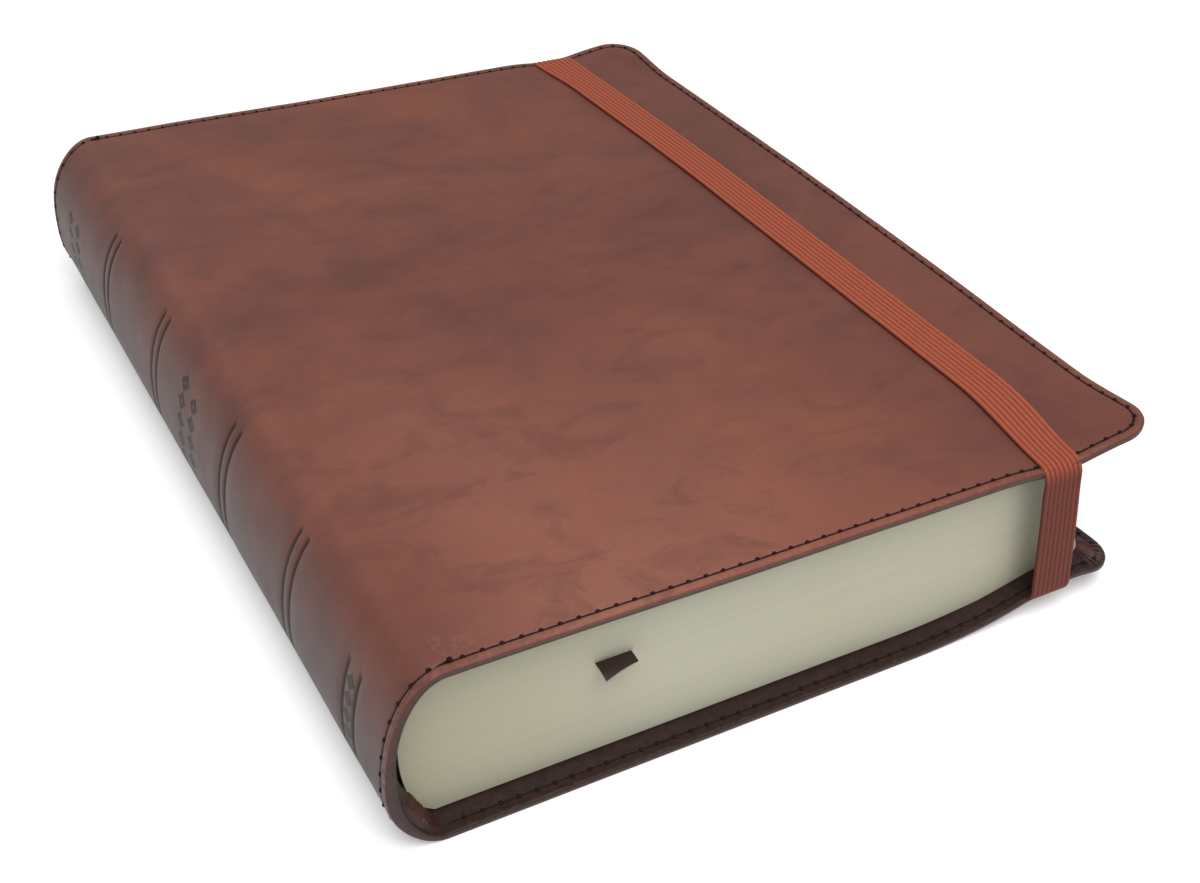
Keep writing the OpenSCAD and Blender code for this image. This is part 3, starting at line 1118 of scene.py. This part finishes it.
def catmull(a, b, c, d, t):
    """Point on a smooth curve between b and c."""
    return 0.5 * (2 * b + (c - a) * t + (2 * a - 5 * b + 4 * c - d) * t ** 2
                  + (3 * b - a - 3 * c + d) * t ** 3)


band, band_length = elastic()
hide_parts("elastic_band")
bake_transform(band)


# --- Ribbon marker -----------------------------------------------------------

def ribbon_tail():
    """Cut end of the ribbon, which stands a little out of the tail edge of the pages."""
    low_x, high_x = side("ribbon_tail", 0, 0) + 0.3, side("ribbon_tail", 0, 1) - 0.6
    z = (side("ribbon_tail", 2, 0) + side("ribbon_tail", 2, 1)) / 2 - 0.6
    out = BLOCK_H + 0.2
    cut = (-side("ribbon_tail", 1, 0) - out, 2.7)
    columns, rows = 18, 16
    points, faces = [], []
    for upper in (0, 1):
        for j in range(rows + 1):
            for k in range(columns + 1):
                s, t = k / columns, j / rows
                stick = cut[0] + (cut[1] - cut[0]) * s
                y = -BLOCK_H + 6 - (6 + 0.2 + stick) * t
                past = max(-BLOCK_H - y, 0)
                arch = 0.35 * math.sin(math.pi * s) * ease(past, 0, 3) - 0.035 * past ** 2
                thick = 0.13 if upper else -0.13
                points.append((low_x + (high_x - low_x) * s, y, z + arch + thick))
    wide, tall = columns + 1, rows + 1
    inner = wide * tall
    for j in range(rows):
        for k in range(columns):
            a = j * wide + k
            faces.append((a, a + wide, a + wide + 1, a + 1))
            faces.append((a + inner, a + 1 + inner, a + wide + 1 + inner, a + wide + inner))
    rim = (list(range(wide)) + [j * wide + columns for j in range(1, tall)]
           + [rows * wide + k for k in range(columns - 1, -1, -1)]
           + [j * wide for j in range(rows - 1, 0, -1)])
    for a, b in zip(rim, rim[1:] + rim[:1]):
        faces.append((a, b, b + inner, a + inner))
    return piece("ribbon_cut_end", points, faces, SATIN), z


ribbon_end, ribbon_z = ribbon_tail()
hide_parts("ribbon_tail")
ribbon_z * MM
ribbon_z * MM
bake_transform(ribbon_end)


# --- Parts carried over from the frame ------------------------------------------

for name, material in (("ribbon_marker", SATIN), ("band_anchor_tail", ELASTIC),
                       ("band_anchor_head", ELASTIC)):
    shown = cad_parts[name]
    shown.data.materials.clear()
    shown.data.materials.append(material)


# --- Floor and light -----------------------------------------------------------

FLOOR_HALF = 3000
FLOOR_GLOW = 0.22
ROOM_LIGHT = 0.42
# Lamps: name, place in metres, size and power
LAMPS = [("key", (-0.18, -0.55, 1.1), 0.9, 14.0), ("back", (-0.45, 1.3, 1.2), 1.6, 4.0)]


def stage():
    """Pale floor, even room light and two soft lamps."""
    corners = [(x * FLOOR_HALF, y * FLOOR_HALF, 0) for x, y in ((-1, -1), (1, -1), (1, 1), (-1, 1))]
    floor = piece("floor", corners, [(0, 1, 2, 3)], bpy.data.materials.new("floor_paint"),
                  smooth=False)
    paint = floor.data.materials[0]
    paint.use_nodes = True
    coat = paint.node_tree.nodes["Principled BSDF"]
    coat.inputs["Base Color"].default_value = (0.9, 0.9, 0.9, 1)
    coat.inputs["Roughness"].default_value = 0.9
    coat.inputs["Emission Color"].default_value = (1, 1, 1, 1)
    coat.inputs["Emission Strength"].default_value = FLOOR_GLOW
    world = bpy.context.scene.world or bpy.data.worlds.new("studio")
    bpy.context.scene.world = world
    world.use_nodes = True
    sky = world.node_tree.nodes["Background"]
    sky.inputs["Color"].default_value = (1.0, 1.0, 1.0, 1)
    sky.inputs["Strength"].default_value = ROOM_LIGHT
    for name, place, size, power in LAMPS:
        lamp = bpy.data.lights.new(name, "AREA")
        lamp.size = size
        lamp.energy = power
        holder = bpy.data.objects.new(name, lamp)
        holder.location = place
        holder.rotation_euler = (-Vector(place)).to_track_quat("-Z", "Y").to_euler()
        bpy.context.scene.collection.objects.link(holder)


stage()
bpy.context.scene.view_settings.view_transform = "Standard"
